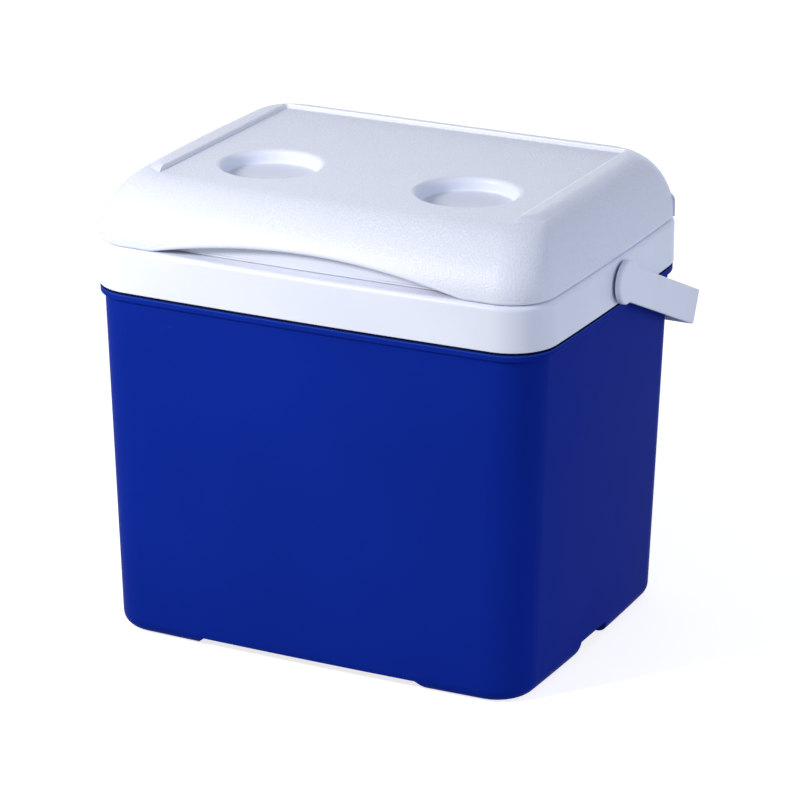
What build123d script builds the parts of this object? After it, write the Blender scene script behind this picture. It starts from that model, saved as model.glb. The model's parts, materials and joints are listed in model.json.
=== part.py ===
from build123d import *
from dataclasses import dataclass
from math import acos, asin, atan2, cos, degrees, hypot, radians, sin
import os

# Hard-sided vaccine carrier: a double-walled, foam-filled box with a hinged domed lid, a swinging bail
# handle and a ring of water-filled ice packs round the vaccine chamber.
#
# Frame, millimetres: X to the right, Y to the back, Z up. The model is drawn about the box's own centre
# plane and moved at the end, so that the origin lies on the ground under the middle of the whole
# footprint, with the handle folded back.

# ---------------------------------------------------------------- driving dimensions, mm and degrees

# Plan of the box
WIDTH = 400.0               # over the rim collar
DEPTH = 299.0               # over the rim collar
CORNER_R = 39.0             # plan corner of the collar
BOW = 3.0                   # bulge of the front and side walls in plan
SMALLEST_CORNER_R = 4.0     # plan corners of inner outlines stop shrinking here

# Outer shell
SHELL_H = 290.8             # ground to the top of the band under the collar
SHELL_WALL = 2.6
SHELL_SIDE_STEP = 4.9       # the shell's wall stands this far inside the collar's, at the top
SHELL_FRONT_STEP = 3.1
SHELL_BACK_STEP = 2.5
SIDE_DRAFT = 9.3            # how far each side wall leans in over the shell's height
FRONT_DRAFT = 1.3           # the same for the front wall
BACK_DRAFT = 6.4
FOOT_EDGE_R = 11.8          # rounding round the foot of the shell
END_RELIEF_H = 7.4          # the underside is raised by this at the front and back, between the feet
SIDE_RELIEF_H = 13.0        # the same at the sides
FOOT_GAP_X = 190.0          # clear width between the feet, left to right
FOOT_GAP_Y = 46.0           # clear width between the feet, front to back
FOOT_RAMP = 9.0             # the feet's inner ends slope by this
LIP_H = 5.7                 # raised band round the top of the shell
LIP_STEP = 0.6              # the band stands this far inside the collar's face
LIP_EDGE_R = 1.2
SPIGOT_H = 5.0              # the shell's top edge stands this far up inside the collar

# Insulation and inner liner
BODY_FOAM = 19.0
FLOOR_FOAM = 18.0           # over the highest part of the shell's floor
LINER_WALL = 2.4
LINER_EDGE_R = 9.0          # rounding round the chamber floor
LINER_FLANGE = 10.0         # the liner's top flange reaches out this far

# Rim collar
COLLAR_H = 38.5             # top of the shell's band to the top of the collar
COLLAR_WALL = 3.0
LEDGE = 3.0                 # thickness of the collar's top ledge
COLLAR_EDGE_R = 4.0
COLLAR_FOOT_R = 0.8
COLLAR_PARTING = 1.8        # groove between the shell's band and the collar

# Lid
LID_GAP = 0.5               # parting gap between the collar and the closed lid
LID_STEP = 1.4              # the lid's wall stands this far inside the collar's face
LID_WALL = 3.0
LID_SKIRT = 3.6             # straight part of the lid's wall, below the dome
PANEL_Z_ABOVE_LID = 49.4    # top panel above the lid's lower edge
RIM_H = 3.5                 # raised rim round the back and sides of the top panel
RIM_SLOPE = 1.5
RIM_RAMP = 3.0              # the rim's front ends run out over this length
RIM_LEVELS = 3
PANEL_CORNER_R = 3.0
SIDE_INSET = 33.4           # how far the dome draws in up to the rim, at the sides
BACK_INSET = 26.3
FRONT_INSET = 49.2          # the same for the front slope, up to the panel
DOME_POWER = 1.75           # superellipse exponent of the dome's profile
DOME_TOP_CORNER_R = 26.0
DOME_LEVELS = 7
PANEL_SIDE_MARGIN = 45.9    # from the collar's side to the top panel
PANEL_BACK_MARGIN = 33.2    # the same at the back
LID_EDGE_R = 2.5            # rounding along the lid's lower edge and the scoop
CUP_R = 39.3                # cup recesses in the top panel
CUP_DEPTH = 11.4
CUP_X = 86.8
CUP_BEHIND_CREST = 63.9     # cup centres behind the top panel's front edge
CUP_LIP_R = 5.0
CUP_FLOOR_R = 2.0
SCOOP_HALF_WIDTH = 139.4    # finger scoop in the lid's front edge
SCOOP_H = 15.4
SCOOP_FOOT_R = 40.0         # the arch runs into the straight edge with this radius
SCOOP_DEPTH = 14.6          # from the collar's front to the wall behind the scoop
SCOOP_LIP = 4.0             # the wall is this much thicker along the scoop
SCOOP_LIP_W = 5.0           # width of that thicker edge

# Lid liner, plug and gasket
PLUG_DEPTH = 16.0
PLUG_GAP = 2.0              # between the plug and the chamber wall
PLUG_EDGE_R = 3.0
GASKET_W = 3.5
GASKET_T = 2.2
GASKET_GAP = 0.5

# Lid hinge
HINGE_X = 110.0             # each hinge's middle, from the centre plane
HINGE_BEHIND = 2.2          # hinge axis behind the collar's back
HINGE_ABOVE_COLLAR = 1.8
KNUCKLE_R = 4.6
KNUCKLE_W = 30.0            # the lid's knuckle
EAR_W = 12.0                # each of the collar's two ears
HINGE_SIDE_GAP = 0.4
PIN_R = 2.0
PIN_RUNNING = 0.08          # radial clearance of a pin that turns
PIN_SEATED = 0.02           # radial clearance of a pin that is pressed in
HINGE_SWING_GAP = 0.6       # round the knuckles and ears
EAR_GUSSET_H = 14.0
HOOD_H = 18.6               # upright band round the lid's back that carries the knuckles
HOOD_DEPTH = 24.0           # how far it reaches forward round the back corners
HOOD_EDGE_R = 6.0

# Bail handle
PIVOT_Y = 6.9
PIVOT_BELOW_COLLAR = 19.4   # pivot axis below the collar's top
BAIL_CLEARANCE = 7.5        # the swinging grip passes the hinges with this to spare
BAIL_REST_GAP = 0.7         # between the resting grip and the shell's back
BAIL_REST_DROP = 76.0       # the resting grip's lower edge is about this far below the pivot
STRAP_W = 28.6
STRAP_T = 3.5
STRAP_EDGE_R = 1.0
BAIL_CORNER_R = 7.0
DISC_R = 17.7
DISC_T = 4.5
DISC_EDGE_R = 1.8
DISC_GAP = 2.8              # between the disc and the collar
DISC_PROUD = 1.0            # the disc's outer face stands this far out of the arm's
HUB_R = 11.5                # the disc's hub, which bears on the collar
HUB_GAP = 0.4
STUD_R = 8.0
STUD_BORE_R = 4.5
STUD_RUNNING = 0.1
STUD_SLOT_W = 2.5
STUD_BARB = 1.0
STUD_BARB_L = 2.2
BOSS_WALL = 4.5             # the collar's boss round the stud
BOSS_L = 5.0
BOSS_SLOT_GAP = 2.0         # room round the boss in the foam

# Ice packs, 0.6 litre pattern
PACK_H = 190.0
PACK_W = 120.0
PACK_T = 34.0
PACK_EDGE_R = 8.0
PACK_GAP = 1.0              # to the liner's walls at the floor, and between neighbours
PACK_PANEL_MARGIN = 16.0
PACK_PANEL_DEPTH = 1.6
PACK_NOTCH_W = 34.0
PACK_NOTCH_H = 18.0
NECK_R = 8.5
NECK_H = 12.0
CAP_R = 11.5
CAP_H = 14.0
CAP_WALL = 1.6
CAP_FLUTES = 12
CAP_FLUTE_R = 1.1

FIT = 0.2                   # between moulded pieces of one body that nest in each other

# ---------------------------------------------------------------- sizes that follow from them

COLLAR_BOTTOM_Z = SHELL_H + COLLAR_PARTING
COLLAR_TOP_Z = SHELL_H + COLLAR_H
LEDGE_UNDER_Z = COLLAR_TOP_Z - LEDGE
LINER_FLOOR_Z = max(END_RELIEF_H, SIDE_RELIEF_H) + SHELL_WALL + FLOOR_FOAM
CHAMBER_FLOOR_Z = LINER_FLOOR_Z + LINER_WALL
LINER_INSET = SHELL_WALL + BODY_FOAM
CHAMBER_INSET = LINER_INSET + LINER_WALL

LID_Z = COLLAR_TOP_Z + LID_GAP
PANEL_Z = LID_Z + PANEL_Z_ABOVE_LID
RIM_Z = PANEL_Z + RIM_H
DOME_Z = LID_Z + LID_SKIRT
CUP_FLOOR_Z = PANEL_Z - CUP_DEPTH
LID_PLATE_Z = COLLAR_TOP_Z + GASKET_T + GASKET_GAP / 2

CUP_Y = -DEPTH / 2 + LID_STEP + FRONT_INSET + CUP_BEHIND_CREST
PANEL_HALF_WIDTH = WIDTH / 2 - PANEL_SIDE_MARGIN
PANEL_BACK_Y = DEPTH / 2 - PANEL_BACK_MARGIN

HINGE_Y = DEPTH / 2 + HINGE_BEHIND
HINGE_Z = COLLAR_TOP_Z + HINGE_ABOVE_COLLAR
PIVOT_Z = COLLAR_TOP_Z - PIVOT_BELOW_COLLAR

LONG = 2 * WIDTH            # longer than anything that is cut through


# ---------------------------------------------------------------- plan outlines and tapered bodies

@dataclass(frozen=True)
class Plan:
    """A plan outline with bowed front and sides, a flat back and rounded corners."""

    width: float
    front: float
    back: float
    corner_r: float

    def inset(self, by):
        corner_r = max(self.corner_r - by, SMALLEST_CORNER_R)
        return Plan(self.width - 2 * by, self.front + by, self.back - by, corner_r)

    def drawn_in(self, side, front, back, corner_r):
        return Plan(self.width - 2 * side, self.front + front, self.back - back, corner_r)

    def face(self, z):
        half = self.width / 2
        middle = (self.front + self.back) / 2
        front_left = (BOW - half, self.front + BOW)
        front_right = (half - BOW, self.front + BOW)
        back_left = (BOW - half, self.back)
        back_right = (half - BOW, self.back)
        outline = make_face([
            ThreePointArc(front_left, (0, self.front), front_right),
            ThreePointArc(front_right, (half, middle), back_right),
            Line(back_right, back_left),
            ThreePointArc(back_left, (-half, middle), front_left),
        ])
        return Pos(0, 0, z) * fillet(outline.vertices(), self.corner_r)

    def prism(self, z_low, z_high):
        return extrude(self.face(z_low), z_high - z_low)


COLLAR = Plan(WIDTH, -DEPTH / 2, DEPTH / 2, CORNER_R)


def shell_plan(z, inset=0.0):
    """The shell's outer face at height z, or an outline inside it."""
    lean = 1 - z / SHELL_H
    return COLLAR.drawn_in(
        SHELL_SIDE_STEP + SIDE_DRAFT * lean,
        SHELL_FRONT_STEP + FRONT_DRAFT * lean,
        SHELL_BACK_STEP + BACK_DRAFT * lean,
        CORNER_R - SHELL_SIDE_STEP,
    ).inset(inset)


def tapered(z_low, z_high, inset):
    """A solid that follows the shell's leaning walls."""
    return loft([shell_plan(z_low, inset).face(z_low), shell_plan(z_high, inset).face(z_high)], ruled=True)


def rounded_foot(solid, radius):
    """Round the lowest edges of a tapered solid."""
    return fillet(solid.edges().group_by(Axis.Z)[0], radius)


def box_between(low, high):
    """A box from its lowest to its highest corner."""
    size = [b - a for a, b in zip(low, high)]
    return Pos(*low) * Box(*size, align=(Align.MIN, Align.MIN, Align.MIN))


def behind(y, z):
    """Everything behind y and above z."""
    return box_between((-LONG, y, z), (LONG, LONG, LONG))


def rod_x(x_low, x_high, y, z, radius):
    """A round rod along X."""
    return Pos(x_low, y, z) * Rot(0, 90, 0) * Cylinder(
        radius, x_high - x_low, align=(Align.CENTER, Align.CENTER, Align.MIN))


MOUTH = shell_plan(LEDGE_UNDER_Z, CHAMBER_INSET)      # the chamber's mouth
LINER_TOP = shell_plan(LEDGE_UNDER_Z, LINER_INSET)    # the outside of the liner's wall at the mouth


# ---------------------------------------------------------------- box: shell, insulation, liner, collar

def foot_relief(grow=0.0):
    """The cross-shaped space under the box that leaves four corner feet, or that and a wall round it."""
    def channel(gap, height, plane):
        half, top = gap / 2 + grow, height + grow
        profile = Polyline(
            (-half, top), (half, top), (half + FOOT_RAMP, 0), (half + FOOT_RAMP, -top),
            (-half - FOOT_RAMP, -top), (-half - FOOT_RAMP, 0), (-half, top))
        return extrude(plane * make_face(profile), LONG / 2, both=True)
    middle_y = (shell_plan(0).front + shell_plan(0).back) / 2
    return (channel(FOOT_GAP_X, END_RELIEF_H, Plane.XZ)
            + Pos(0, middle_y, 0) * channel(FOOT_GAP_Y, SIDE_RELIEF_H, Plane.YZ))


def make_outer_shell():
    """Blue tub: leaning walls, hollow corner feet, a raised band under the collar and a spigot inside it."""
    tub = rounded_foot(tapered(0, SHELL_H, 0), FOOT_EDGE_R)
    band = COLLAR.inset(LIP_STEP).prism(SHELL_H - LIP_H, SHELL_H)
    band = fillet(band.edges().group_by(Axis.Z)[0], LIP_EDGE_R)
    spigot = COLLAR.inset(COLLAR_WALL + FIT).prism(SHELL_H, SHELL_H + SPIGOT_H)
    hollow = rounded_foot(tapered(SHELL_WALL, SHELL_H + SPIGOT_H, SHELL_WALL), FOOT_EDGE_R - SHELL_WALL)
    return tub + band + spigot - foot_relief() - (hollow - foot_relief(SHELL_WALL))


def make_body_insulation():
    """Foam between the shell and the liner, with slots into which the collar's bosses come down."""
    top_z = LEDGE_UNDER_Z - LINER_WALL - FIT
    inset = SHELL_WALL + FIT
    block = rounded_foot(tapered(inset, top_z, inset), FOOT_EDGE_R - SHELL_WALL) - foot_relief(inset)
    room = rounded_foot(
        tapered(LINER_FLOOR_Z - FIT, LEDGE_UNDER_Z, LINER_INSET - FIT), LINER_EDGE_R + LINER_WALL + FIT)
    foam = block - room
    slot_r = STUD_R + BOSS_WALL + BOSS_SLOT_GAP
    slot_x = WIDTH / 2 - COLLAR_WALL - BOSS_L - STUD_BARB_L - 2 * BOSS_SLOT_GAP
    for x_low, x_high in ((slot_x, WIDTH / 2), (-WIDTH / 2, -slot_x)):
        foam -= rod_x(x_low, x_high, PIVOT_Y, PIVOT_Z, slot_r)
        foam -= box_between((x_low, PIVOT_Y - slot_r, PIVOT_Z), (x_high, PIVOT_Y + slot_r, COLLAR_TOP_Z))
    return foam


def make_inner_liner():
    """White tub of the cold chamber, with a flange that the collar's ledge holds down."""
    tub = rounded_foot(tapered(LINER_FLOOR_Z, LEDGE_UNDER_Z, LINER_INSET), LINER_EDGE_R + LINER_WALL)
    flange = LINER_TOP.inset(-LINER_FLANGE).prism(LEDGE_UNDER_Z - LINER_WALL, LEDGE_UNDER_Z)
    chamber = rounded_foot(tapered(CHAMBER_FLOOR_Z, LEDGE_UNDER_Z, CHAMBER_INSET), LINER_EDGE_R)
    return tub + flange - chamber


def hinge_spans(side):
    """X ranges of one hinge: the lid's knuckle, then the collar's two ears."""
    middle = side * HINGE_X
    half = KNUCKLE_W / 2
    ear = half + HINGE_SIDE_GAP
    return ((middle - half, middle + half),
            ((middle - ear - EAR_W, middle - ear), (middle + ear, middle + ear + EAR_W)))


def make_ear(x_low, x_high):
    """One of the collar's hinge ears, on a gusset down the collar's back."""
    inside = DEPTH / 2 - COLLAR_WALL
    foot_z = COLLAR_TOP_Z - EAR_GUSSET_H
    profile = Polyline(
        (inside, COLLAR_TOP_Z), (HINGE_Y, HINGE_Z), (HINGE_Y + KNUCKLE_R, HINGE_Z),
        (DEPTH / 2, foot_z), (inside, foot_z), (inside, COLLAR_TOP_Z))
    gusset = extrude(Plane.YZ.offset(x_low) * make_face(profile), x_high - x_low)
    return gusset + rod_x(x_low, x_high, HINGE_Y, HINGE_Z, KNUCKLE_R)


def make_rim_collar():
    """White frame that caps the box: outer wall, top ledge, handle bosses and hinge ears."""
    collar = COLLAR.prism(COLLAR_BOTTOM_Z, COLLAR_TOP_Z)
    collar = fillet(collar.edges().group_by(Axis.Z)[-1], COLLAR_EDGE_R)
    collar = fillet(collar.edges().group_by(Axis.Z)[0], COLLAR_FOOT_R)
    collar -= COLLAR.inset(COLLAR_WALL).prism(COLLAR_BOTTOM_Z, LEDGE_UNDER_Z)
    collar -= MOUTH.prism(LEDGE_UNDER_Z, COLLAR_TOP_Z)
    boss_x = WIDTH / 2 - COLLAR_WALL - BOSS_L
    for side in (-1, 1):
        x_low, x_high = sorted((side * boss_x, side * (WIDTH / 2 - COLLAR_WALL / 2)))
        collar += rod_x(x_low, x_high, PIVOT_Y, PIVOT_Z, STUD_R + BOSS_WALL)
        knuckle, ears = hinge_spans(side)
        swept = (knuckle[0] - HINGE_SIDE_GAP, knuckle[1] + HINGE_SIDE_GAP)
        collar -= rod_x(*swept, HINGE_Y, HINGE_Z, KNUCKLE_R + HINGE_SWING_GAP)
        for ear in ears:
            collar += make_ear(*ear)
        collar -= rod_x(ears[0][0], ears[1][1], HINGE_Y, HINGE_Z, PIN_R + PIN_SEATED)
    return collar - rod_x(-LONG / 2, LONG / 2, PIVOT_Y, PIVOT_Z, STUD_R + STUD_RUNNING)


def make_hinge_pin(side):
    """Plain pin through the ears and the knuckle, with broken edges."""
    ears = hinge_spans(side)[1]
    pin = rod_x(ears[0][0], ears[1][1], HINGE_Y, HINGE_Z, PIN_R)
    return chamfer(pin.edges().filter_by(GeomType.CIRCLE), PIN_R / 5)


# ---------------------------------------------------------------- lid

def superellipse_inset(full, rise, height, power):
    """How far a superelliptic profile has drawn in at a height above its foot."""
    share = min(max(height / rise, 0.0), 1.0)
    return full * (1 - (1 - share ** power) ** (1 / power))


def dome_plan(z, wall):
    """The lid's outline at height z; wall is the distance inside the outer face."""
    above = z - DOME_Z
    base = COLLAR.inset(LID_STEP)
    side = superellipse_inset(SIDE_INSET - wall, RIM_Z - wall - DOME_Z, above, DOME_POWER)
    back = superellipse_inset(BACK_INSET - wall, RIM_Z - wall - DOME_Z, above, DOME_POWER)
    front = superellipse_inset(FRONT_INSET - wall, PANEL_Z - wall - DOME_Z, above, DOME_POWER)
    share = min(max(above / (RIM_Z - DOME_Z), 0.0), 1.0)
    corner_r = base.corner_r + (DOME_TOP_CORNER_R - base.corner_r) * share
    return base.drawn_in(side + wall, front + wall, back + wall, max(corner_r - wall, SMALLEST_CORNER_R))


def dome(wall=0.0):
    """The lid's block from its lower edge to the top panel, or the space inside its walls."""
    rise = PANEL_Z - wall - DOME_Z
    curve = [DOME_Z + rise * sin(radians(90 * i / DOME_LEVELS)) for i in range(DOME_LEVELS + 1)]
    return loft([dome_plan(z, wall).face(z) for z in (LID_Z, *curve)])


def rim():
    """The raised rim's body, above the top panel; its front ends run down to the front slope."""
    levels = [PANEL_Z + RIM_H * sin(radians(90 * i / RIM_LEVELS)) for i in range(RIM_LEVELS + 1)]
    ramps = [RIM_RAMP * (z - PANEL_Z) / RIM_H for z in levels]
    return loft([dome_plan(z, 0).drawn_in(0, ramp, 0, dome_plan(z, 0).corner_r).face(z)
                 for z, ramp in zip(levels, ramps)])


def panel_recess():
    """The space over the top panel, open to the front, with sloping sides."""
    def outline(z):
        spread = RIM_SLOPE * (z - PANEL_Z) / RIM_H
        half = PANEL_HALF_WIDTH + spread
        depth = PANEL_BACK_Y + spread + LONG / 2
        middle_y = PANEL_BACK_Y + spread - depth / 2
        return Pos(0, middle_y, z) * RectangleRounded(2 * half, depth, PANEL_CORNER_R)
    return loft([outline(PANEL_Z), outline(PANEL_Z + 2 * RIM_H)], ruled=True)


def hood():
    """The upright band round the lid's back, over the collar's outline."""
    band = COLLAR.prism(LID_Z, LID_Z + HOOD_H)
    band = fillet(band.edges().group_by(Axis.Z)[-1], HOOD_EDGE_R)
    return band & behind(DEPTH / 2 - HOOD_DEPTH, LID_Z)


def cup_cutter(grow=0.0):
    """A cup recess with a rounded lip and floor, or the room that its wall takes below the panel."""
    radius = CUP_R + grow
    floor = CUP_FLOOR_Z - grow
    if grow:
        return Pos(0, 0, floor) * Cylinder(
            radius, PANEL_Z - floor, align=(Align.CENTER, Align.CENTER, Align.MIN))
    lip = PANEL_Z - CUP_LIP_R
    profile = [
        Line((0, floor), (radius - CUP_FLOOR_R, floor)),
        RadiusArc((radius - CUP_FLOOR_R, floor), (radius, floor + CUP_FLOOR_R), -CUP_FLOOR_R),
        Line((radius, floor + CUP_FLOOR_R), (radius, lip)),
        RadiusArc((radius, lip), (radius + CUP_LIP_R, PANEL_Z), CUP_LIP_R),
        Line((radius + CUP_LIP_R, PANEL_Z), (radius + CUP_LIP_R, PANEL_Z + RIM_H)),
        Line((radius + CUP_LIP_R, PANEL_Z + RIM_H), (0, PANEL_Z + RIM_H)),
        Line((0, PANEL_Z + RIM_H), (0, floor)),
    ]
    return revolve(Plane.XZ * make_face(profile), Axis.Z)


def at_cups(solid):
    """The solid at both cup places."""
    return Pos(-CUP_X, CUP_Y, 0) * solid + Pos(CUP_X, CUP_Y, 0) * solid


def scoop(back_y, grow=0.0):
    """The finger scoop's flat arch with its two tangent feet, cut from the front as far back as back_y."""
    half, height = SCOOP_HALF_WIDTH + grow, SCOOP_H + grow
    both_radii = (half ** 2 + height ** 2) / (2 * height)     # the crown's and a foot's together
    slope = asin(half / both_radii)                           # where the crown meets the foot
    bend_x = half - SCOOP_FOOT_R * sin(slope)
    bend_z = LID_Z + SCOOP_FOOT_R * (1 - cos(slope))
    arch = [
        TangentArc((-half, LID_Z), (-bend_x, bend_z), tangent=(1, 0)),
        ThreePointArc((-bend_x, bend_z), (0, LID_Z + height), (bend_x, bend_z)),
        TangentArc((half, LID_Z), (bend_x, bend_z), tangent=(-1, 0)),
        Polyline((half, LID_Z), (half, LID_Z - height), (-half, LID_Z - height), (-half, LID_Z)),
    ]
    face = Plane.XZ.offset(-back_y) * make_face(arch)
    return extrude(face, LONG / 2)


def underside_outline(block, notch_y):
    """The outer edges of a lid block's underside, along the scoop too; notch_y is the scoop's back."""
    underside = block.faces().filter_by(lambda face: face.normal_at().Z < -0.7)
    edges = [edge for face in underside for edge in face.edges()]
    return [edge for edge in edges if edges.count(edge) == 1 and abs(edge.center().Y - notch_y) > FIT]


def make_lid_shell():
    """White lid cover: dome, top panel with rim and cup recesses, finger scoop and hinge knuckles."""
    block = dome() - scoop(PAN.front)
    block = fillet(underside_outline(block, PAN.front), LID_EDGE_R)
    outer = block + rim() + hood() - panel_recess() - at_cups(cup_cutter())
    hollow = dome(LID_WALL) - at_cups(cup_cutter(LID_WALL))
    lip_back_y = -DEPTH / 2 + LID_STEP + LID_WALL + SCOOP_LIP
    lip = block & scoop(lip_back_y, SCOOP_LIP_W)
    shell = outer - hollow + lip
    for side in (-1, 1):
        knuckle, ears = hinge_spans(side)
        shell += rod_x(*knuckle, HINGE_Y, HINGE_Z, KNUCKLE_R)
        for ear in ears:
            swept = (ear[0] - HINGE_SIDE_GAP, ear[1] + HINGE_SIDE_GAP)
            shell -= rod_x(*swept, HINGE_Y, HINGE_Z, KNUCKLE_R + HINGE_SWING_GAP)
        shell -= rod_x(ears[0][0], ears[1][1], HINGE_Y, HINGE_Z, PIN_R + PIN_RUNNING)
    return shell


GASKET_OUTER = MOUTH.inset(-GASKET_GAP - GASKET_W)
PAN_INSET = LID_STEP + LID_WALL + FIT
PAN = Plan(                      # the lid liner's outline
    WIDTH - 2 * PAN_INSET,
    min(-DEPTH / 2 + SCOOP_DEPTH, GASKET_OUTER.front - GASKET_GAP - LINER_WALL),
    DEPTH / 2 - PAN_INSET,
    CORNER_R - PAN_INSET,
)
PLUG = MOUTH.inset(PLUG_GAP)
PLUG_Z = COLLAR_TOP_Z - PLUG_DEPTH
PLATE_TOP_Z = LID_PLATE_Z + LINER_WALL


def make_lid_liner():
    """Smooth inner lid moulding: plate with a turned-down edge, finger wall and hollow plug."""
    plate = PAN.prism(LID_Z, PLATE_TOP_Z) - PAN.inset(LINER_WALL).prism(LID_Z, LID_PLATE_Z)
    inside = dome(LID_WALL + FIT)
    wall = inside & behind(PAN.front, LID_PLATE_Z) - behind(PAN.front + LINER_WALL, LID_PLATE_Z)
    plug = PLUG.prism(PLUG_Z, PLATE_TOP_Z)
    plug = fillet(plug.edges().group_by(Axis.Z)[0], PLUG_EDGE_R)
    return plate + wall + plug - PLUG.inset(LINER_WALL).prism(PLUG_Z + LINER_WALL, PLATE_TOP_Z)


def make_lid_insulation():
    """Foam that fills the lid between its cover and its liner, and the plug."""
    block = dome(LID_WALL + FIT) & behind(PAN.front + LINER_WALL + FIT, PLATE_TOP_Z + FIT)
    fill = PLUG.inset(LINER_WALL + FIT).prism(PLUG_Z + LINER_WALL + FIT, PLATE_TOP_Z + FIT)
    return block + fill - at_cups(cup_cutter(LID_WALL + FIT))


def make_lid_gasket():
    """Soft seal under the lid's plate, round the plug."""
    ring = GASKET_OUTER.prism(LID_PLATE_Z - GASKET_T, LID_PLATE_Z)
    return ring - MOUTH.inset(-GASKET_GAP).prism(LID_PLATE_Z - GASKET_T, LID_PLATE_Z)


# ---------------------------------------------------------------- bail handle

# The grip's inner face passes the hinges on its way over the lid; at rest its lower edge nearly touches
# the shell's back.
BAIL_REACH = hypot(HINGE_Y - PIVOT_Y, HINGE_Z - PIVOT_Z) + KNUCKLE_R + BAIL_CLEARANCE + STRAP_T
GRIP_EDGE_REACH = hypot(BAIL_REACH - STRAP_T, STRAP_W / 2)
GRIP_REST_Y = shell_plan(PIVOT_Z - BAIL_REST_DROP).back + BAIL_REST_GAP
BAIL_REST_ANGLE = degrees(              # of the arms, below level
    acos((GRIP_REST_Y - PIVOT_Y) / GRIP_EDGE_REACH) - atan2(STRAP_W / 2, BAIL_REACH - STRAP_T))
BAIL_BACK_Y = PIVOT_Y + BAIL_REACH * cos(radians(BAIL_REST_ANGLE)) + STRAP_W / 2 * sin(
    radians(BAIL_REST_ANGLE))
ORIGIN_Y = (BAIL_BACK_Y - DEPTH / 2) / 2     # middle of the footprint, seen from the box's centre plane


def make_snap_stud():
    """Hub and split hollow stud along +X that snaps into the collar; the disc's inner face is at X = 0."""
    length = DISC_GAP + COLLAR_WALL + BOSS_L + FIT
    stud = rod_x(0, length, 0, 0, STUD_R) + rod_x(0, DISC_GAP - HUB_GAP, 0, 0, HUB_R)
    barb = rod_x(length, length + STUD_BARB_L, 0, 0, STUD_R + STUD_BARB)
    barb = chamfer(barb.edges().filter_by(GeomType.CIRCLE).sort_by(Axis.X)[-1], STUD_BARB)
    stud += barb
    tip = length + STUD_BARB_L
    root = DISC_GAP + COLLAR_WALL / 2
    stud -= rod_x(root, tip, 0, 0, STUD_BORE_R)
    for size in ((STUD_SLOT_W, 4 * STUD_R), (4 * STUD_R, STUD_SLOT_W)):
        stud -= Pos(root, 0, 0) * Box(tip - root, *size, align=(Align.MIN, Align.CENTER, Align.CENTER))
    return stud


def make_bail_handle():
    """U-shaped strap with a disc and a snap stud at each end, folded back at rest."""
    disc_x = WIDTH / 2 + DISC_GAP
    outer_x = disc_x + DISC_T - DISC_PROUD
    inner_x = outer_x - STRAP_T
    outside = Rectangle(2 * outer_x, 2 * BAIL_REACH)
    outside = fillet(outside.vertices(), BAIL_CORNER_R)
    inside = Rectangle(2 * inner_x, 2 * (BAIL_REACH - STRAP_T))
    inside = fillet(inside.vertices(), BAIL_CORNER_R - STRAP_T)
    band = outside - inside - Pos(0, -BAIL_REACH) * Rectangle(LONG, 2 * BAIL_REACH)
    strap = extrude(band, STRAP_W / 2, both=True)
    strap = fillet(strap.edges().group_by(Axis.Z)[0] + strap.edges().group_by(Axis.Z)[-1], STRAP_EDGE_R)
    for side in (-1, 1):
        x_low, x_high = sorted((side * disc_x, side * (disc_x + DISC_T)))
        disc = rod_x(x_low, x_high, 0, 0, DISC_R)
        outer_edge = disc.edges().filter_by(GeomType.CIRCLE).sort_by(Axis.X)[-1 if side > 0 else 0]
        strap += fillet(outer_edge, DISC_EDGE_R)
        strap += Pos(side * disc_x, 0, 0) * Rot(0, 0, 180 if side > 0 else 0) * make_snap_stud()
    return Pos(0, PIVOT_Y, PIVOT_Z) * Rot(-BAIL_REST_ANGLE, 0, 0) * strap


# ---------------------------------------------------------------- ice packs

CHAMBER_FLOOR = shell_plan(CHAMBER_FLOOR_Z, CHAMBER_INSET)
NOTCH_FLOOR = PACK_H - PACK_NOTCH_H
CAP_X = PACK_W / 2 - PACK_NOTCH_W / 2


def make_ice_pack():
    """Flat water bottle standing on Z = 0, with sunk faces and a neck in the notch at its top corner."""
    pack = Box(PACK_W, PACK_T, PACK_H, align=(Align.CENTER, Align.CENTER, Align.MIN))
    notch = box_between((PACK_W / 2 - PACK_NOTCH_W, -PACK_T, NOTCH_FLOOR), (PACK_W, PACK_T, 2 * PACK_H))
    pack = fillet(pack.edges(), PACK_EDGE_R) - notch
    panel_w = PACK_W - 2 * PACK_PANEL_MARGIN
    panel_h = NOTCH_FLOOR - 2 * PACK_PANEL_MARGIN
    panel = RectangleRounded(panel_w, panel_h, PACK_EDGE_R)
    for face_y in (-PACK_T / 2 + PACK_PANEL_DEPTH, PACK_T / 2):
        plane = Plane.XZ.offset(-face_y)
        pack -= extrude(Pos(0, 0, NOTCH_FLOOR / 2) * plane * panel, PACK_PANEL_DEPTH)
    neck = Cylinder(NECK_R, NECK_H, align=(Align.CENTER, Align.CENTER, Align.MIN))
    return pack + Pos(CAP_X, 0, NOTCH_FLOOR) * neck


def make_ice_pack_cap():
    """Fluted screw cap, in its place over the pack's neck."""
    cap = Cylinder(CAP_R, CAP_H, align=(Align.CENTER, Align.CENTER, Align.MIN))
    cap = fillet(cap.edges().sort_by(Axis.Z)[-1], CAP_WALL / 2)
    flute = Cylinder(CAP_FLUTE_R, CAP_H - CAP_WALL, align=(Align.CENTER, Align.CENTER, Align.MIN))
    cap -= PolarLocations(CAP_R, CAP_FLUTES) * flute
    bore = Cylinder(NECK_R + FIT, CAP_H - CAP_WALL, align=(Align.CENTER, Align.CENTER, Align.MIN))
    return Pos(CAP_X, 0, NOTCH_FLOOR) * (cap - bore)


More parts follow.
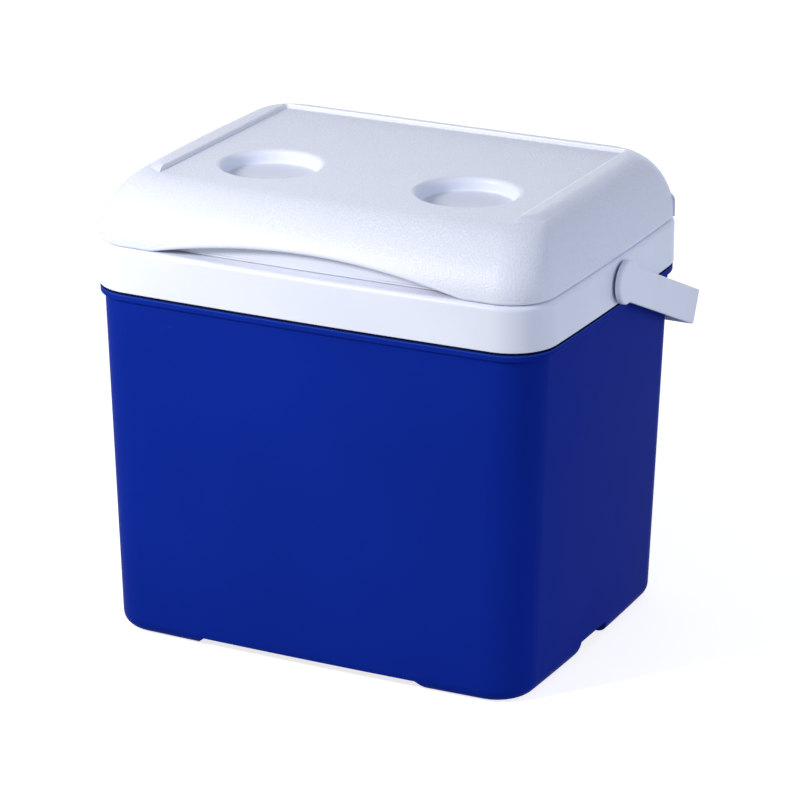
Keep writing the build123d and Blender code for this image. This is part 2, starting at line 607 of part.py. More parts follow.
def ice_pack_places():
    """Where the six packs stand, round the walls of the chamber, with their caps to the outside."""
    reach = PACK_GAP + PACK_T / 2
    side_x = CHAMBER_FLOOR.width / 2 - BOW - reach
    front_y = CHAMBER_FLOOR.front + BOW + reach
    back_y = CHAMBER_FLOOR.back - reach
    beside = (PACK_W + PACK_GAP) / 2
    z = CHAMBER_FLOOR_Z
    return {
        "front_left": Pos(-beside, front_y, z) * Rot(0, 0, 180),
        "front_right": Pos(beside, front_y, z),
        "back_left": Pos(-beside, back_y, z) * Rot(0, 0, 180),
        "back_right": Pos(beside, back_y, z),
        "side_left": Pos(-side_x, (front_y + back_y) / 2, z) * Rot(0, 0, 90),
        "side_right": Pos(side_x, (front_y + back_y) / 2, z) * Rot(0, 0, 90),
    }


# ---------------------------------------------------------------- all pieces

def make_pieces():
    """Every piece by its name, drawn about the box's own centre plane."""
    pieces = {
        "outer_shell": make_outer_shell(),
        "body_insulation": make_body_insulation(),
        "inner_liner": make_inner_liner(),
        "rim_collar": make_rim_collar(),
        "hinge_pin_left": make_hinge_pin(-1),
        "hinge_pin_right": make_hinge_pin(1),
        "lid_shell": make_lid_shell(),
        "lid_liner": make_lid_liner(),
        "lid_insulation": make_lid_insulation(),
        "lid_gasket": make_lid_gasket(),
        "bail_handle": make_bail_handle(),
    }
    pack, cap = make_ice_pack(), make_ice_pack_cap()
    for name, place in ice_pack_places().items():
        pieces[f"ice_pack_{name}"] = place * pack
        pieces[f"ice_pack_{name}_cap"] = place * cap
    return pieces


def main():
    os.makedirs("parts", exist_ok=True)
    for name, piece in make_pieces().items():
        export_step(Pos(0, -ORIGIN_Y, 0) * piece, f"parts/{name}.step")


main()
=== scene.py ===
import json
import math

import bpy
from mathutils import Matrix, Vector


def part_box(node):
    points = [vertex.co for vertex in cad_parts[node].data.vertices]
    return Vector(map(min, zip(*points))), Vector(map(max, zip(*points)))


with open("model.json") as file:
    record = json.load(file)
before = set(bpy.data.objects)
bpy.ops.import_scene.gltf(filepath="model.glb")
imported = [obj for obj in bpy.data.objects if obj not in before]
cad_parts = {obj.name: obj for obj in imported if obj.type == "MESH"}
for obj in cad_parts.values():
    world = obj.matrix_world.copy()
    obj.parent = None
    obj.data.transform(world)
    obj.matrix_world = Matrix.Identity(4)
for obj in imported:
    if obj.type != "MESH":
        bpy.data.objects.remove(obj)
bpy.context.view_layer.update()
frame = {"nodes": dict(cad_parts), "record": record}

# Dresses the vaccine carrier: finishes for every moulded piece, then the studio round it.
# Metres throughout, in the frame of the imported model: X to the right, Y to the back, Z up.

# ---------------------------------------------------------------- camera

CAMERA_AZIMUTH = 26.582          # degrees round from straight in front, towards the right side
CAMERA_ELEVATION = 19.780        # degrees
CAMERA_DISTANCE = 3.12374
CAMERA_LENS = 172.845            # millimetres
SENSOR_WIDTH = 36.0              # millimetres
CAMERA_REACH = 100.0             # nothing further off is drawn
AIM_RIGHT = 0.00933              # the camera's aim, from the middle of the box on the ground
AIM_HEIGHT = 0.18130
COLLAR_DEPTH = 0.299

# ---------------------------------------------------------------- studio sizes and light

FLOOR_REACH = 9.0
FLOOR_DIFFUSE = 0.60
FLOOR_GLOW = 0.78
SKY_COLOUR = (0.79, 0.84, 1.0, 1.0)
SKY_STRENGTH = 0.42
LAMP_AIM = (0.0, 0.0, 0.2)
LAMPS = {                        # place, width of the square, watts and colour
    "key_softbox": ((-0.52, -0.95, 0.9), 0.28, 10.9, (1.0, 0.975, 0.95)),
    "side_softbox": ((2.2, -0.1, 0.5), 1.6, 14.5, (0.77, 0.82, 1.0)),
    "back_softbox": ((-0.7, 2.4, 0.35), 1.6, 9.0, (0.90, 0.94, 1.0)),
}

# ---------------------------------------------------------------- shapes that a finish follows

LID_LOW_Z = 0.3298               # the closed lid's lower edge
SCOOP_HALF_WIDTH = 0.1394
SCOOP_HEIGHT = 0.0154
SCOOP_FOOT_RADIUS = 0.040
SCOOP_REACH = 0.04               # the scoop ends before this, from the collar's front face
SMOOTH_EDGE_WIDTH = 0.0032       # band without grain along the lid's lower edge
SMOOTH_EDGE_FADE = 0.0006
CUP_RADIUS = 0.0393
CUP_LIP_RADIUS = 0.005
CUP_X = 0.0868
CUP_BEHIND_FRONT = 0.1145        # from the collar's front face to the middle of the cup recesses
CUP_FLOOR_Z = 0.3678
RIM_CREST_X = 0.1556             # inner edge of the raised rim's top, at the sides
RIM_CREST_BEHIND_FRONT = 0.2673  # the same at the back, from the collar's front face
RIM_CREST_Z = 0.3827
SHELL_TOP_Z = 0.2908             # the shell's upper lip, under the collar
COLLAR_HALF_WIDTH = 0.2000
DISC_RADIUS = 0.0177             # the round discs at the handle's ends
WATER_LEVEL_SHARE = 0.86         # how full the ice packs are

# Where a region's mask starts and ends, short of an edge or beyond it.
CUP_LIP_FADE = 0.001
CUP_FLOOR_FADE = (0.0007, 0.0002)
RIM_EDGE_FADE = (0.0011, 0.0005)
RIM_CREST_FADE = (0.0015, 0.0005)
LIP_HIGHLIGHT_FADE = (0.0017, 0.0011)
LIP_SHADE_FADE = (0.0006, 0.0001)
COLLAR_SIDE_FADE = (0.002, 0.001)
DISC_FADE = (0.0012, 0.0032)
WATER_LINE_FADE = 0.0008

# ---------------------------------------------------------------- colours and wear

POLYETHYLENE_BLUE = (0.0046, 0.0235, 0.300, 1.0)
# worn corners and scuffs on the shell, and the painted highlight along its upper lip
WORN_AND_HIGHLIT_BLUE = (0.02, 0.06, 0.40, 1.0)
OUTER_WHITE = (0.85, 0.89, 1.0, 1.0)
RUBBED_WHITE = (0.87, 0.89, 0.97, 1.0)
# worn corners and scuffs on the lid, and the painted highlight along the raised rim's inner edge
WORN_AND_HIGHLIT_LID_WHITE = (0.97, 0.98, 1.0, 1.0)
# painted shade: the liner's white is darker than the outer white, standing in for the shade on its
# recessed walls
LINER_WHITE_WITH_PAINTED_SHADE = (0.76, 0.795, 0.89, 1.0)
RUBBED_LINER_WHITE = (0.84, 0.86, 0.92, 1.0)
CAP_BLUE = (0.01, 0.05, 0.35, 1.0)
RUBBED_CAP_BLUE = (0.05, 0.12, 0.5, 1.0)
BOTTLE_EMPTY = (0.78, 0.86, 0.92, 1.0)
BOTTLE_FILLED = (0.42, 0.66, 0.86, 1.0)
BOTTLE_HAZE = (0.88, 0.93, 0.96, 1.0)
FOAM_CREAM = (0.86, 0.83, 0.70, 1.0)
RUBBER_GREY = (0.30, 0.31, 0.33, 1.0)
STEEL_DARK = (0.42, 0.43, 0.44, 1.0)
STEEL_LIGHT = (0.60, 0.61, 0.62, 1.0)
# near-black blue of the painted shade in the shell's groove and on the collar behind the discs
PAINTED_SHADE_COLOUR = (0.0015, 0.004, 0.03, 1.0)

DRIFT_SHADE = 0.93               # share of the colour that is left where a mould's tone is low
RECESS_PAINTED_SHADE = 0.87                # painted shade: share of the colour that is left on the floors of the cup recesses
FOAM_SHADE = 0.8
RUBBER_DUST = 1.35
DRIFT_TONES = (0.3, 0.7)         # the tones between which a moulded wall's colour changes
PIT_TONES = (0.80, 0.40)         # the grain's tones between which its pits are shaded
DRIFT_ROUGHNESS = 0.10
SCUFF_ROUGHNESS = 0.15
EDGE_POLISH = 0.10
MOULD_WAVE = 0.0002              # depth of a moulded wall's slow waviness
LIP_PAINTED_HIGHLIGHT = 0.8                    # strength of the painted highlight along the shell's lip
GROOVE_PAINTED_SHADE = 0.75               # how dark the painted shade in the groove over the lip is
DISC_PAINTED_SHADE = 0.7                  # how dark the painted shade on the collar behind the discs is


# ---------------------------------------------------------------- shader helpers

class Graph:
    """Adds nodes to one tree and joins them up."""

    def __init__(self, tree):
        self.tree = tree

    def node(self, kind, values=None, **settings):
        made = self.tree.nodes.new(kind)
        for name, value in settings.items():
            setattr(made, name, value)
        for name, value in (values or {}).items():
            self.feed(made.inputs[name], value)
        return made

    def feed(self, socket, value):
        if isinstance(value, bpy.types.NodeSocket):
            self.tree.links.new(value, socket)
        else:
            socket.default_value = value

    def math(self, operation, first, second=0.0, third=0.0, clamp=False):
        made = self.node("ShaderNodeMath", operation=operation, use_clamp=clamp)
        for socket, value in zip(made.inputs, (first, second, third)):
            self.feed(socket, value)
        return made.outputs[0]

    def product(self, *factors):
        result = factors[0]
        for factor in factors[1:]:
            result = self.math("MULTIPLY", result, factor)
        return result

    def distance(self, first, second):
        """Length of the step that is first one way and second at right angles to it."""
        return self.math("SQRT", self.math("ADD", self.math("POWER", first, 2.0),
                                           self.math("POWER", second, 2.0)))

    def ramp(self, value, low, high, to_low=0.0, to_high=1.0):
        """value from low..high to to_low..to_high, eased at both ends and held beyond them."""
        made = self.node("ShaderNodeMapRange", {
            "Value": value, "From Min": low, "From Max": high, "To Min": to_low, "To Max": to_high,
        }, interpolation_type="SMOOTHSTEP")
        return made.outputs["Result"]

    def mix(self, share, first, second):
        """Blend of two colours."""
        made = self.node("ShaderNodeMix", data_type="RGBA")
        self.feed(made.inputs[0], share)
        self.feed(made.inputs[6], first)
        self.feed(made.inputs[7], second)
        return made.outputs[2]

    def vector_math(self, operation, *values):
        made = self.node("ShaderNodeVectorMath", operation=operation)
        for socket, value in zip(made.inputs, values):
            self.feed(socket, value)
        return made.outputs

    def noise(self, where, scale, detail, **more):
        """A cloudy tone about 0.5, with a colour that goes with it."""
        values = {"Vector": where, "Scale": scale, "Detail": detail, **more}
        return self.node("ShaderNodeTexNoise", values).outputs

    def split(self, vector):
        return self.node("ShaderNodeSeparateXYZ", {"Vector": vector}).outputs

    def group(self, tree, **values):
        made = self.node("ShaderNodeGroup", node_tree=tree)
        for name, value in values.items():
            self.feed(made.inputs[name], value)
        return made.outputs


FLOAT, VECTOR = "NodeSocketFloat", "NodeSocketVector"


def new_group(name, inputs, outputs):
    """An empty shader node group; returns its graph, its given values and its results."""
    tree = bpy.data.node_groups.new(name, "ShaderNodeTree")
    tree.interface.new_socket("Vector", in_out="INPUT", socket_type=VECTOR)
    for title, value in inputs.items():
        socket = tree.interface.new_socket(title, in_out="INPUT", socket_type=FLOAT)
        socket.default_value = value
    for title, kind in outputs.items():
        tree.interface.new_socket(title, in_out="OUTPUT", socket_type=kind)
    source = tree.nodes.new("NodeGroupInput")
    sink = tree.nodes.new("NodeGroupOutput")
    return Graph(tree), source.outputs, sink.inputs


def shaded(colour, share):
    """The colour times share, at most 1."""
    return tuple(min(1.0, share * part) for part in colour[:3]) + (1.0,)


# ---------------------------------------------------------------- effects shared by finishes

def build_pebble_grain():
    """Etched mould grain: rounded pebbles with fine stipple over them.
    Height is in metres; Tone is about 1 on the pebbles and lower between them."""
    warp_scale, stipple_scale = 0.45, 2.6       # against the scale of the pebbles
    warp_reach = 1.1                            # against their size
    crown_fall, stipple_share = 1.5, 0.35       # how deep pebbles and stipple are, in Depth
    graph, given, result = new_group(
        "pebble_grain", {"Pebble": 0.0016, "Depth": 0.00006, "Amount": 1.0},
        {"Height": FLOAT, "Tone": FLOAT})
    scale = graph.math("DIVIDE", 1.0, given["Pebble"])
    warp = graph.noise(given["Vector"], graph.product(scale, warp_scale), 1.0)
    reach = graph.product(given["Pebble"], warp_reach)
    spread = graph.node("ShaderNodeCombineXYZ", {"X": reach, "Y": reach, "Z": reach})
    moved = graph.vector_math("MULTIPLY_ADD", warp["Color"], spread.outputs[0], given["Vector"])
    pebbles = graph.node("ShaderNodeTexVoronoi", {
        "Vector": moved["Vector"], "Scale": scale, "Smoothness": 0.7}, feature="SMOOTH_F1")
    stipple = graph.noise(given["Vector"], graph.product(scale, stipple_scale), 2.0)
    crown = graph.math("SUBTRACT", 1.0, graph.product(pebbles.outputs["Distance"], crown_fall))
    tone = graph.math("MULTIPLY_ADD", stipple["Fac"], stipple_share, crown)
    graph.feed(result["Height"], graph.product(tone, given["Depth"], given["Amount"]))
    graph.feed(result["Tone"], graph.product(tone, given["Amount"]))
    return graph.tree


def build_mould_drift():
    """Slow unevenness of a moulded wall: a tone about 0.5 and a very shallow wave in metres."""
    graph, given, result = new_group("mould_drift", {"Size": 0.12, "Wave": 0.00025},
                                     {"Tone": FLOAT, "Height": FLOAT})
    slow = graph.noise(given["Vector"], graph.math("DIVIDE", 1.0, given["Size"]), 2.0,
                       Roughness=0.45)
    graph.feed(result["Tone"], slow["Fac"])
    graph.feed(result["Height"], graph.product(slow["Fac"], given["Wave"]))
    return graph.tree


def build_edge_wear():
    """Where corners are worn, 0 to 1 in patches, and the normal of a corner rounded by Width."""
    flat, bent = 0.995, 0.86                    # cosines between the rounded and the plain normal
    bare, worn = 0.46, 0.66                     # tones of the patches
    graph, given, result = new_group(
        "edge_wear", {"Width": 0.0012, "Patch": 0.02, "Amount": 1.0},
        {"Mask": FLOAT, "Rounded Normal": VECTOR})
    rounded = graph.node("ShaderNodeBevel", {"Radius": given["Width"]}, samples=4).outputs[0]
    plain = graph.node("ShaderNodeNewGeometry").outputs["Normal"]
    agreement = graph.vector_math("DOT_PRODUCT", rounded, plain)["Value"]
    on_edge = graph.ramp(agreement, flat, bent)
    patches = graph.noise(given["Vector"], graph.math("DIVIDE", 1.0, given["Patch"]), 4.0)
    in_patch = graph.ramp(patches["Fac"], bare, worn)
    graph.feed(result["Mask"], graph.product(on_edge, in_patch, given["Amount"]))
    graph.feed(result["Rounded Normal"], rounded)
    return graph.tree


def build_scuffs():
    """Fine scratches from rubbing that run roughly level, 0 to 1."""
    lean, stretch = 0.21, 22.0
    patch_scale = 14.0
    line_tones, patch_tones = (0.64, 0.74), (0.56, 0.72)
    graph, given, result = new_group("scuffs", {"Spacing": 0.012, "Amount": 1.0},
                                     {"Mask": FLOAT})
    drawn_out = graph.node("ShaderNodeMapping", {
        "Vector": given["Vector"], "Rotation": (0.0, lean, 0.0), "Scale": (1.0, 1.0, stretch)})
    lines = graph.noise(drawn_out.outputs[0], graph.math("DIVIDE", 1.0, given["Spacing"]), 3.0)
    patches = graph.noise(given["Vector"], patch_scale, 2.0)
    on_line = graph.ramp(lines["Fac"], *line_tones)
    in_patch = graph.ramp(patches["Fac"], *patch_tones)
    graph.feed(result["Mask"], graph.product(on_line, in_patch, given["Amount"]))
    return graph.tree


GRAIN = build_pebble_grain()
DRIFT = build_mould_drift()
WEAR = build_edge_wear()
SCUFFS = build_scuffs()


# ---------------------------------------------------------------- regions of single pieces

COLLAR_FRONT_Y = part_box("rim_collar")[0].y
HANDLE_PIVOT = next(joint["pos_m"] for joint in frame["record"]["behaviour"]["joints"]
                    if joint["name"] == "handle_swing")


def short_of(edge, fade):
    return edge - fade[0], edge - fade[1]


def beyond(edge, fade):
    return edge + fade[0], edge + fade[1]


def scoop_arch(graph, across):
    """Height of the lid's edge over the finger scoop: a crown between two feet."""
    both_radii = (SCOOP_HALF_WIDTH ** 2 + SCOOP_HEIGHT ** 2) / (2 * SCOOP_HEIGHT)
    bend_x = SCOOP_HALF_WIDTH * (1 - SCOOP_FOOT_RADIUS / both_radii)
    crown_fall = -0.5 / (both_radii - SCOOP_FOOT_RADIUS)
    to_foot = graph.math("MAXIMUM", graph.math("SUBTRACT", SCOOP_HALF_WIDTH, across), 0.0)
    crown = graph.math("MULTIPLY_ADD", graph.math("POWER", across, 2.0), crown_fall, SCOOP_HEIGHT)
    foot = graph.product(graph.math("POWER", to_foot, 2.0), 0.5 / SCOOP_FOOT_RADIUS)
    on_crown = graph.math("LESS_THAN", across, bend_x)
    off_crown = graph.math("SUBTRACT", 1.0, on_crown)
    return graph.math("ADD", graph.product(crown, on_crown), graph.product(foot, off_crown))


def lid_regions(graph, where):
    """Grained all over but for the smooth lower band, the scoop's lip and the cup recesses;
    painted highlight along the inner edge of the raised rim; painted shade on the recess floors."""
    place = graph.split(where)
    across = graph.math("ABSOLUTE", place["X"])
    in_front = graph.math("LESS_THAN", place["Y"], COLLAR_FRONT_Y + SCOOP_REACH)
    edge_z = graph.math("MULTIPLY_ADD", scoop_arch(graph, across), in_front, LID_LOW_Z)
    above_edge = graph.math("SUBTRACT", place["Z"], edge_z)
    clear_of_edge = graph.ramp(above_edge, SMOOTH_EDGE_WIDTH, SMOOTH_EDGE_WIDTH + SMOOTH_EDGE_FADE)

    from_cup = graph.distance(
        graph.math("SUBTRACT", across, CUP_X),
        graph.math("SUBTRACT", place["Y"], COLLAR_FRONT_Y + CUP_BEHIND_FRONT))
    clear_of_cup = graph.ramp(from_cup, CUP_RADIUS - CUP_LIP_FADE, CUP_RADIUS + CUP_LIP_RADIUS)
    # Painted shade: the floors of the cup recesses are darkened.
    inside_cup = graph.math("LESS_THAN", from_cup, CUP_RADIUS)
    near_floor = graph.ramp(place["Z"], *beyond(CUP_FLOOR_Z, CUP_FLOOR_FADE))

    # Painted highlight: a lighter line along the inner edge of the rim's crest, with no grain on
    # it.
    past_side = graph.math("SUBTRACT", across, RIM_CREST_X)
    past_back = graph.math("SUBTRACT", place["Y"], COLLAR_FRONT_Y + RIM_CREST_BEHIND_FRONT)
    from_crest = graph.math("ABSOLUTE", graph.math("MAXIMUM", past_side, past_back))
    along_crest = graph.ramp(from_crest, *RIM_EDGE_FADE)
    at_crest = graph.ramp(place["Z"], *short_of(RIM_CREST_Z, RIM_CREST_FADE))
    rim_highlight = graph.product(along_crest, at_crest)
    off_rim_edge = graph.math("SUBTRACT", 1.0, rim_highlight)
    return {"grained": graph.product(clear_of_edge, clear_of_cup, off_rim_edge),
            "wear_and_painted_highlight": rim_highlight, "painted_recess_shade": graph.product(near_floor, inside_cup)}


def shell_regions(graph, where):
    """Painted highlight along the upper lip's edge, and painted shade on its top, in the groove
    under the collar.
    """
    up = graph.split(where)["Z"]
    # Painted highlight just under the lip's top edge; painted shade on the top itself.
    return {"wear_and_painted_highlight": graph.ramp(up, *short_of(SHELL_TOP_Z, LIP_HIGHLIGHT_FADE), 0.0, LIP_PAINTED_HIGHLIGHT),
            "painted_shade": graph.ramp(up, *short_of(SHELL_TOP_Z, LIP_SHADE_FADE), 0.0, GROOVE_PAINTED_SHADE)}


def collar_regions(graph, where):
    """Painted shade on the sides, behind the handle's discs."""
    place = graph.split(where)
    on_side = graph.ramp(graph.math("ABSOLUTE", place["X"]),
                         *short_of(COLLAR_HALF_WIDTH, COLLAR_SIDE_FADE))
    from_pivot = graph.distance(graph.math("SUBTRACT", place["Y"], HANDLE_PIVOT[1]),
                                graph.math("SUBTRACT", place["Z"], HANDLE_PIVOT[2]))
    # Painted shade where the collar's side lies in the gap behind a disc.
    behind_disc = graph.ramp(from_pivot, *short_of(DISC_RADIUS, DISC_FADE), 0.0, DISC_PAINTED_SHADE)
    return {"painted_shade": graph.product(behind_disc, on_side)}


# ---------------------------------------------------------------- finishes

def new_material(name):
    """A material with an empty tree; returns it, its graph, the piece's own coordinates and its
    shader."""
    material = bpy.data.materials.new(name)
    material.use_nodes = True
    material.node_tree.nodes.clear()
    graph = Graph(material.node_tree)
    where = graph.node("ShaderNodeTexCoord").outputs["Object"]
    shader = graph.node("ShaderNodeBsdfPrincipled")
    graph.node("ShaderNodeOutputMaterial", {"Surface": shader.outputs[0]})
    return material, graph, where, shader


def bump(graph, shader, height, normal=None):
    """Raises the surface by height, in metres."""
    made = graph.node("ShaderNodeBump", {"Strength": 1.0, "Distance": 1.0, "Height": height})
    if normal is not None:
        graph.feed(made.inputs["Normal"], normal)
    graph.feed(shader.inputs["Normal"], made.outputs[0])


def moulded_plastic(name, colour, wear_and_highlight_colour, roughness, specular, pebble, depth,
                    wear=0.5, scuff=0.5, regions=None, pit_shade=0.0):
    """Injection-moulded plastic: etched grain with painted shade in its pits, mould unevenness,
    worn edges and light scuffs. regions gives masks of where it is grained and where highlights
    and shade are painted."""
    material, graph, where, shader = new_material(name)
    masks = regions(graph, where) if regions else {}
    amount = masks.get("grained", 1.0)
    grain = graph.group(GRAIN, Vector=where, Pebble=pebble, Depth=depth, Amount=amount)
    drift = graph.group(DRIFT, Vector=where, Wave=MOULD_WAVE)
    corners = graph.group(WEAR, Vector=where, Amount=wear)
    scuffs = graph.group(SCUFFS, Vector=where, Amount=scuff)["Mask"]

    tone = graph.ramp(drift["Tone"], *DRIFT_TONES)
    surface = graph.mix(tone, shaded(colour, DRIFT_SHADE), colour)
    # Painted shade on the floors of the cup recesses.
    if "painted_recess_shade" in masks:
        surface = graph.mix(masks["painted_recess_shade"], surface, shaded(colour, RECESS_PAINTED_SHADE))
    if pit_shade:
        in_pit = graph.product(graph.ramp(grain["Tone"], *PIT_TONES), amount)
        surface = graph.mix(in_pit, surface, shaded(colour, 1.0 - pit_shade))
    # Worn corners and scuffs take the lighter colour, and so do the painted highlights along the
    # lid's rim and the shell's lip.
    wear_and_painted_highlight = graph.math("MAXIMUM", graph.math("MAXIMUM", corners["Mask"], scuffs),
                        masks.get("wear_and_painted_highlight", 0.0))
    surface = graph.mix(wear_and_painted_highlight, surface, wear_and_highlight_colour)
    # Painted shade in the groove over the shell's lip and on the collar behind the handle's discs.
    if "painted_shade" in masks:
        surface = graph.mix(masks["painted_shade"], surface, PAINTED_SHADE_COLOUR)
    graph.feed(shader.inputs["Base Color"], surface)

    smoothest = roughness - DRIFT_ROUGHNESS / 2
    rough = graph.math("MULTIPLY_ADD", drift["Tone"], DRIFT_ROUGHNESS, smoothest)
    rough = graph.math("MULTIPLY_ADD", scuffs, SCUFF_ROUGHNESS, rough)
    rough = graph.math("MULTIPLY_ADD", corners["Mask"], -EDGE_POLISH, rough, clamp=True)
    graph.feed(shader.inputs["Roughness"], rough)
    graph.feed(shader.inputs["Specular IOR Level"], specular)
    height = graph.math("ADD", grain["Height"], drift["Height"])
    bump(graph, shader, height, corners["Rounded Normal"])
    return material


def ice_pack_bottle(name, low_z, high_z):
    """Milky bottle, deeper in tone up to the water's level."""
    material, graph, where, shader = new_material(name)
    level = low_z + (high_z - low_z) * WATER_LEVEL_SHARE
    drift = graph.group(DRIFT, Vector=where, Size=0.03, Wave=0.0004)
    filled = graph.ramp(graph.split(where)["Z"], level + WATER_LINE_FADE, level - WATER_LINE_FADE)
    haze = graph.ramp(drift["Tone"], 0.35, 0.75, 0.0, 0.35)
    colour = graph.mix(haze, graph.mix(filled, BOTTLE_EMPTY, BOTTLE_FILLED), BOTTLE_HAZE)
    graph.feed(shader.inputs["Base Color"], colour)
    graph.feed(shader.inputs["Roughness"], graph.math("MULTIPLY_ADD", drift["Tone"], 0.12, 0.22))
    graph.feed(shader.inputs["Subsurface Weight"], 0.15)
    graph.feed(shader.inputs["Subsurface Scale"], 0.01)
    bump(graph, shader, drift["Height"])
    return material


def cut_foam(name, colour):
    """Rigid foam: cells that show where it is cut, and a slightly yellowed tone."""
    material, graph, where, shader = new_material(name)
    cells = graph.node("ShaderNodeTexVoronoi", {"Vector": where, "Scale": 900.0})
    drift = graph.group(DRIFT, Vector=where, Size=0.05)
    yellowed = graph.mix(drift["Tone"], shaded(colour, FOAM_SHADE), colour)
    graph.feed(shader.inputs["Base Color"], yellowed)
    graph.feed(shader.inputs["Roughness"], 0.9)
    bump(graph, shader, graph.product(cells.outputs["Distance"], 0.0004))
    return material


def drawn_steel(name):
    """Hinge pins: lines round the pin from drawing and a slightly uneven shine."""
    material, graph, where, shader = new_material(name)
    drawn_out = graph.node("ShaderNodeMapping", {"Vector": where, "Scale": (60.0, 2600.0, 2600.0)})
    line = graph.noise(drawn_out.outputs[0], 1.0, 3.0)["Fac"]
    graph.feed(shader.inputs["Base Color"], graph.mix(line, STEEL_DARK, STEEL_LIGHT))
    graph.feed(shader.inputs["Roughness"], graph.math("MULTIPLY_ADD", line, 0.2, 0.22))
    graph.feed(shader.inputs["Metallic"], 1.0)
    bump(graph, shader, graph.product(line, 0.00002))
    return material


def soft_rubber(name, colour):
    """Gasket: matt, dusty in places, with a fine extruded grain."""
    material, graph, where, shader = new_material(name)
    grain = graph.group(GRAIN, Vector=where, Pebble=0.0006, Depth=0.00003)
    drift = graph.group(DRIFT, Vector=where, Size=0.03)
    dusty = graph.mix(graph.ramp(drift["Tone"], 0.45, 0.7), colour, shaded(colour, RUBBER_DUST))
    graph.feed(shader.inputs["Base Color"], dusty)
    graph.feed(shader.inputs["Roughness"], graph.math("MULTIPLY_ADD", drift["Tone"], 0.15, 0.68))
    bump(graph, shader, grain["Height"])
    return material


def build_finishes():
    """One material for each slot of the record."""
    pack_low, pack_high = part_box("ice_pack_front_left")
    return {
        "shell_blue": moulded_plastic(
            "blue_polyethylene", POLYETHYLENE_BLUE, WORN_AND_HIGHLIT_BLUE, roughness=0.46, specular=0.01,
            pebble=0.0007, depth=0.00001, regions=shell_regions),
        "collar_white": moulded_plastic(
            "collar_plastic", OUTER_WHITE, RUBBED_WHITE, roughness=0.38, specular=0.4,
            pebble=0.0006, depth=0.000004, wear=0.3, scuff=0.2, regions=collar_regions),
        "lid_white": moulded_plastic(
            "lid_plastic", OUTER_WHITE, WORN_AND_HIGHLIT_LID_WHITE, roughness=0.42, specular=0.4,
            pebble=0.0015, depth=0.00018, wear=0.3, scuff=0.1, regions=lid_regions,
            pit_shade=0.10),
        "handle_white": moulded_plastic(
            "handle_plastic", OUTER_WHITE, RUBBED_WHITE, roughness=0.36, specular=0.4,
            pebble=0.0006, depth=0.000004, wear=0.3, scuff=0.3),
        "liner_white": moulded_plastic(
            "liner_plastic", LINER_WHITE_WITH_PAINTED_SHADE, RUBBED_LINER_WHITE, roughness=0.24, specular=0.5,
            pebble=0.0006, depth=0.000002, wear=0.2, scuff=0.4),
        "ice_pack_cap": moulded_plastic(
            "cap_plastic", CAP_BLUE, RUBBED_CAP_BLUE, roughness=0.3, specular=0.4,
            pebble=0.0005, depth=0.000004),
        "ice_pack_bottle": ice_pack_bottle("milky_bottle", pack_low.z, pack_high.z),
        "insulation_foam": cut_foam("cut_foam", FOAM_CREAM),
        "gasket_rubber": soft_rubber("gasket_rubber", RUBBER_GREY),
        "hinge_steel": drawn_steel("drawn_steel"),
    }


def dress_pieces():
    finishes = build_finishes()
    for part in frame["record"]["subparts"]:
        for slot in frame["nodes"][part["node"]].material_slots:
            slot.material = finishes[part["material_slot"]]


# ---------------------------------------------------------------- studio

def background_rays(graph):
    """1 for camera, mirror and glass rays, which see the studio as a white background."""
    path = graph.node("ShaderNodeLightPath").outputs
    through_or_off = graph.math("MAXIMUM", path["Is Glossy Ray"], path["Is Transmission Ray"])
    return graph.math("MAXIMUM", path["Is Camera Ray"], through_or_off)


def studio_surface(name, diffuse, glow):
    """Pale diffuse surface, lifted towards white as a background."""
    material = bpy.data.materials.new(name)
    material.use_nodes = True
    material.node_tree.nodes.clear()
    graph = Graph(material.node_tree)
    matt = graph.node("ShaderNodeBsdfDiffuse", {"Color": (diffuse, diffuse, diffuse, 1.0)})
    strength = graph.product(background_rays(graph), glow)
    lift = graph.node("ShaderNodeEmission", {"Strength": strength})
    both = graph.node("ShaderNodeAddShader")
    graph.feed(both.inputs[0], matt.outputs[0])
    graph.feed(both.inputs[1], lift.outputs[0])
    graph.node("ShaderNodeOutputMaterial", {"Surface": both.outputs[0]})
    return material


def add_floor():
    corners = [(-FLOOR_REACH, -FLOOR_REACH, 0), (FLOOR_REACH, -FLOOR_REACH, 0),
               (FLOOR_REACH, FLOOR_REACH, 0), (-FLOOR_REACH, FLOOR_REACH, 0)]
    mesh = bpy.data.meshes.new("floor")
    mesh.from_pydata(corners, [], [(0, 1, 2, 3)])
    mesh.materials.append(studio_surface("studio_floor", FLOOR_DIFFUSE, FLOOR_GLOW))
    floor = bpy.data.objects.new("floor", mesh)
    bpy.context.scene.collection.objects.link(floor)


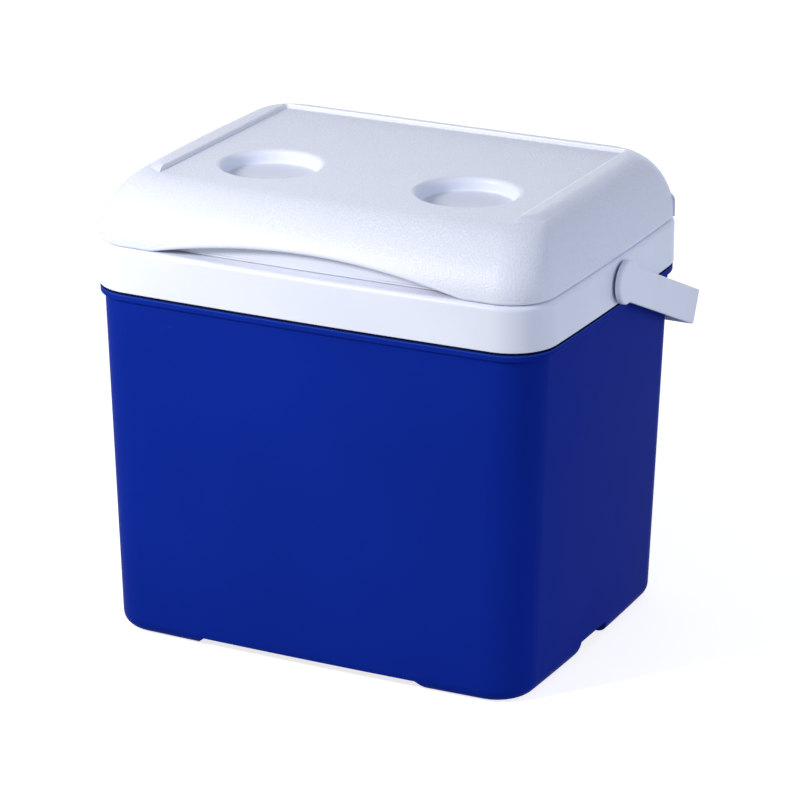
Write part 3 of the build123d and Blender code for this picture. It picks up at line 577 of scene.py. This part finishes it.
def add_lamps():
    """Square area lights that face the middle of the box."""
    for name, (place, width, power, colour) in LAMPS.items():
        light = bpy.data.lights.new(name, "AREA")
        light.shape = "RECTANGLE"
        light.size = light.size_y = width
        light.energy = power
        light.color = colour
        lamp = bpy.data.objects.new(name, light)
        lamp.location = place
        to_aim = Vector(LAMP_AIM) - Vector(place)
        lamp.rotation_euler = to_aim.to_track_quat("-Z", "Y").to_euler()
        bpy.context.scene.collection.objects.link(lamp)


def set_world():
    """Even sky light that is plain white as a background."""
    world = bpy.data.worlds.new("studio_world")
    bpy.context.scene.world = world
    world.use_nodes = True
    world.node_tree.nodes.clear()
    graph = Graph(world.node_tree)
    sky = graph.node("ShaderNodeBackground", {"Color": SKY_COLOUR, "Strength": SKY_STRENGTH})
    white = graph.node("ShaderNodeBackground", {"Color": (1.0, 1.0, 1.0, 1.0), "Strength": 1.0})
    choose = graph.node("ShaderNodeMixShader", {"Fac": background_rays(graph)})
    graph.feed(choose.inputs[1], sky.outputs[0])
    graph.feed(choose.inputs[2], white.outputs[0])
    graph.node("ShaderNodeOutputWorld", {"Surface": choose.outputs[0]})


def add_camera():
    azimuth, elevation = math.radians(CAMERA_AZIMUTH), math.radians(CAMERA_ELEVATION)
    right = Vector((math.cos(azimuth), math.sin(azimuth), 0.0))
    towards_camera = Vector((math.sin(azimuth) * math.cos(elevation),
                             -math.cos(azimuth) * math.cos(elevation), math.sin(elevation)))
    collar_middle = Vector((0.0, COLLAR_FRONT_Y + COLLAR_DEPTH / 2, 0.0))
    aim = collar_middle + right * AIM_RIGHT + Vector((0.0, 0.0, AIM_HEIGHT))
    optics = bpy.data.cameras.new("camera")
    optics.lens = CAMERA_LENS
    optics.sensor_width = SENSOR_WIDTH
    optics.clip_end = CAMERA_REACH
    camera = bpy.data.objects.new("camera", optics)
    camera.location = aim + towards_camera * CAMERA_DISTANCE
    camera.rotation_euler = (-towards_camera).to_track_quat("-Z", "Y").to_euler()
    bpy.context.scene.collection.objects.link(camera)
    bpy.context.scene.camera = camera


# ---------------------------------------------------------------- build

dress_pieces()
add_camera()
add_floor()
set_world()
add_lamps()
bpy.context.scene.view_settings.view_transform = "Standard"
